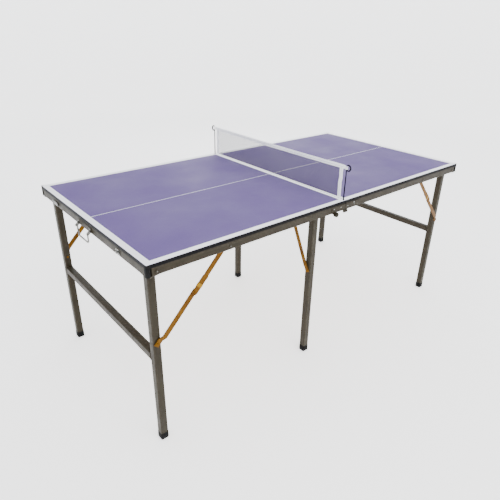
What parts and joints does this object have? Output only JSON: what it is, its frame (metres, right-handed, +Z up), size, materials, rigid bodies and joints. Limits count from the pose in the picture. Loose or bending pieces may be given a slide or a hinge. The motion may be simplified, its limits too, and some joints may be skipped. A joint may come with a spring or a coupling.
{
  "type": "folding table tennis table",
  "caption": "Folding mid-size table tennis table: two boards hinged at the middle, folding end frames with jointed braces, single inner legs, net on two rods.",
  "frame": {"origin": "centre of the table's bounding box at floor level", "axes": "+X along the length towards the right half, +Y across towards the far side, +Z up"},
  "size_m": [1.8646, 0.945, 0.9215],
  "materials": {
    "playing_surface": "painted",
    "frame_paint": "satin",
    "yellow_zinc": "yellow zinc plated",
    "bright_steel": "bright",
    "black_plastic": "moulded",
    "black_steel": "satin",
    "netting": "woven mesh"
  },
  "bodies": {
    "left_half": {"left_board": "playing_surface", "left_near_rail": "frame_paint", "left_far_rail": "frame_paint", "left_end_rail": "frame_paint", "left_seam_rail": "frame_paint", "left_near_corner_cap": "black_plastic", "left_far_corner_cap": "black_plastic", "left_inner_bearer": "frame_paint", "left_near_hinge_leaf": "frame_paint", "left_far_hinge_leaf": "frame_paint", "left_catch": "bright_steel", "left_handle_mount": "bright_steel"},
    "left_leg_frame": {"left_near_leg": "frame_paint", "left_far_leg": "frame_paint", "left_near_leg_foot": "black_plastic", "left_far_leg_foot": "black_plastic", "left_crossbar": "frame_paint"},
    "left_brace_uppers": {"left_near_brace_upper": "yellow_zinc", "left_far_brace_upper": "yellow_zinc"},
    "left_brace_lowers": {"left_near_brace_lower": "yellow_zinc", "left_far_brace_lower": "yellow_zinc"},
    "left_inner_leg_set": {"left_inner_leg": "frame_paint", "left_inner_leg_foot": "black_plastic"},
    "left_inner_upper": {"left_inner_brace_upper": "yellow_zinc"},
    "left_inner_lower": {"left_inner_brace_lower": "yellow_zinc"},
    "left_latch_hook": {"left_latch": "bright_steel"},
    "left_bail": {"left_handle": "bright_steel"},
    "right_half": {"right_board": "playing_surface", "right_near_rail": "frame_paint", "right_far_rail": "frame_paint", "right_end_rail": "frame_paint", "right_seam_rail": "frame_paint", "right_near_corner_cap": "black_plastic", "right_far_corner_cap": "black_plastic", "right_inner_bearer": "frame_paint", "right_near_hinge_leaf": "frame_paint", "right_far_hinge_leaf": "frame_paint", "right_catch": "bright_steel", "right_handle_mount": "bright_steel"},
    "right_leg_frame": {"right_near_leg": "frame_paint", "right_far_leg": "frame_paint", "right_near_leg_foot": "black_plastic", "right_far_leg_foot": "black_plastic", "right_crossbar": "frame_paint"},
    "right_brace_uppers": {"right_near_brace_upper": "yellow_zinc", "right_far_brace_upper": "yellow_zinc"},
    "right_brace_lowers": {"right_near_brace_lower": "yellow_zinc", "right_far_brace_lower": "yellow_zinc"},
    "right_inner_leg_set": {"right_inner_leg": "frame_paint", "right_inner_leg_foot": "black_plastic"},
    "right_inner_upper": {"right_inner_brace_upper": "yellow_zinc"},
    "right_inner_lower": {"right_inner_brace_lower": "yellow_zinc"},
    "right_latch_hook": {"right_latch": "bright_steel"},
    "right_bail": {"right_handle": "bright_steel"},
    "hinge_links": {"near_hinge_link": "frame_paint", "far_hinge_link": "frame_paint"},
    "net_set": {"net": "netting", "near_net_post": "black_steel", "far_net_post": "black_steel"},
    "knob": {"hinge_knob": "black_plastic"}
  },
  "joints": [
    {"name": "left_legs_fold", "type": "hinge", "parent": "left_half", "child": "left_leg_frame", "pos_m": [-0.8795, 0, 0.74025], "axis": [0, -1, 0], "range_deg": [0, 90]},
    {"name": "left_brace_upper_turn", "type": "hinge", "parent": "left_half", "child": "left_brace_uppers", "pos_m": [-0.5995, 0, 0.74025], "axis": [0, -1, 0], "range_deg": [-48, 0]},
    {"name": "left_brace_lower_turn", "type": "hinge", "parent": "left_leg_frame", "child": "left_brace_lowers", "pos_m": [-0.8795, 0, 0.44325], "axis": [0, -1, 0], "range_deg": [0, 44]},
    {"name": "left_inner_leg_fold", "type": "hinge", "parent": "left_half", "child": "left_inner_leg_set", "pos_m": [-0.096, -0.37495, 0.74025], "axis": [1, 0, 0], "range_deg": [0, 90]},
    {"name": "left_inner_upper_turn", "type": "hinge", "parent": "left_half", "child": "left_inner_upper", "pos_m": [-0.096, -0.23495, 0.74025], "axis": [1, 0, 0], "range_deg": [-66, 0]},
    {"name": "left_inner_lower_turn", "type": "hinge", "parent": "left_inner_leg_set", "child": "left_inner_lower", "pos_m": [-0.096, -0.37495, 0.44325], "axis": [1, 0, 0], "range_deg": [0, 26]},
    {"name": "left_latch_turn", "type": "hinge", "parent": "left_half", "child": "left_latch_hook", "pos_m": [-0.9144, 0.268, 0.742], "axis": [-1, 0, 0], "range_deg": [0, 90]},
    {"name": "left_handle_swing", "type": "hinge", "parent": "left_half", "child": "left_bail", "pos_m": [-0.9264, 0, 0.73], "axis": [0, 1, 0], "range_deg": [-20, 160]},
    {"name": "right_legs_fold", "type": "hinge", "parent": "right_half", "child": "right_leg_frame", "pos_m": [0.8795, 0, 0.74025], "axis": [0, 1, 0], "range_deg": [0, 90]},
    {"name": "right_brace_upper_turn", "type": "hinge", "parent": "right_half", "child": "right_brace_uppers", "pos_m": [0.5995, 0, 0.74025], "axis": [0, 1, 0], "range_deg": [-48, 0]},
    {"name": "right_brace_lower_turn", "type": "hinge", "parent": "right_leg_frame", "child": "right_brace_lowers", "pos_m": [0.8795, 0, 0.44325], "axis": [0, 1, 0], "range_deg": [0, 44]},
    {"name": "right_inner_leg_fold", "type": "hinge", "parent": "right_half", "child": "right_inner_leg_set", "pos_m": [0.096, 0.37495, 0.74025], "axis": [-1, 0, 0], "range_deg": [0, 90]},
    {"name": "right_inner_upper_turn", "type": "hinge", "parent": "right_half", "child": "right_inner_upper", "pos_m": [0.096, 0.23495, 0.74025], "axis": [-1, 0, 0], "range_deg": [-66, 0]},
    {"name": "right_inner_lower_turn", "type": "hinge", "parent": "right_inner_leg_set", "child": "right_inner_lower", "pos_m": [0.096, 0.37495, 0.44325], "axis": [-1, 0, 0], "range_deg": [0, 26]},
    {"name": "right_latch_turn", "type": "hinge", "parent": "right_half", "child": "right_latch_hook", "pos_m": [0.9144, -0.268, 0.742], "axis": [1, 0, 0], "range_deg": [0, 90]},
    {"name": "right_handle_swing", "type": "hinge", "parent": "right_half", "child": "right_bail", "pos_m": [0.9264, 0, 0.73], "axis": [0, -1, 0], "range_deg": [-20, 160]},
    {"name": "hinge_link_fold", "type": "hinge", "parent": "left_half", "child": "hinge_links", "pos_m": [-0.007, 0, 0.724], "axis": [0, 1, 0], "range_deg": [0, 90]},
    {"name": "right_half_fold", "type": "hinge", "parent": "hinge_links", "child": "right_half", "pos_m": [0.007, 0, 0.724], "axis": [0, 1, 0], "range_deg": [0, 90]},
    {"name": "net_lift", "type": "slide", "parent": "left_half", "child": "net_set", "axis": [0, 0, 1], "range_m": [0, 0.06]},
    {"name": "hinge_knob_turn", "type": "hinge", "parent": "left_half", "child": "knob", "pos_m": [-0.062, -0.4572, 0.723], "axis": [0, -1, 0], "range_deg": [0, 360]}
  ],
  "couplings": [
    {"joint": "left_brace_upper_turn", "follows": "left_legs_fold", "ratio": -0.51875},
    {"joint": "left_brace_lower_turn", "follows": "left_legs_fold", "ratio": 0.48125},
    {"joint": "left_inner_upper_turn", "follows": "left_inner_leg_fold", "ratio": -0.71957},
    {"joint": "left_inner_lower_turn", "follows": "left_inner_leg_fold", "ratio": 0.28042},
    {"joint": "right_brace_upper_turn", "follows": "right_legs_fold", "ratio": -0.51875},
    {"joint": "right_brace_lower_turn", "follows": "right_legs_fold", "ratio": 0.48125},
    {"joint": "right_inner_upper_turn", "follows": "right_inner_leg_fold", "ratio": -0.71957},
    {"joint": "right_inner_lower_turn", "follows": "right_inner_leg_fold", "ratio": 0.28042}
  ]
}
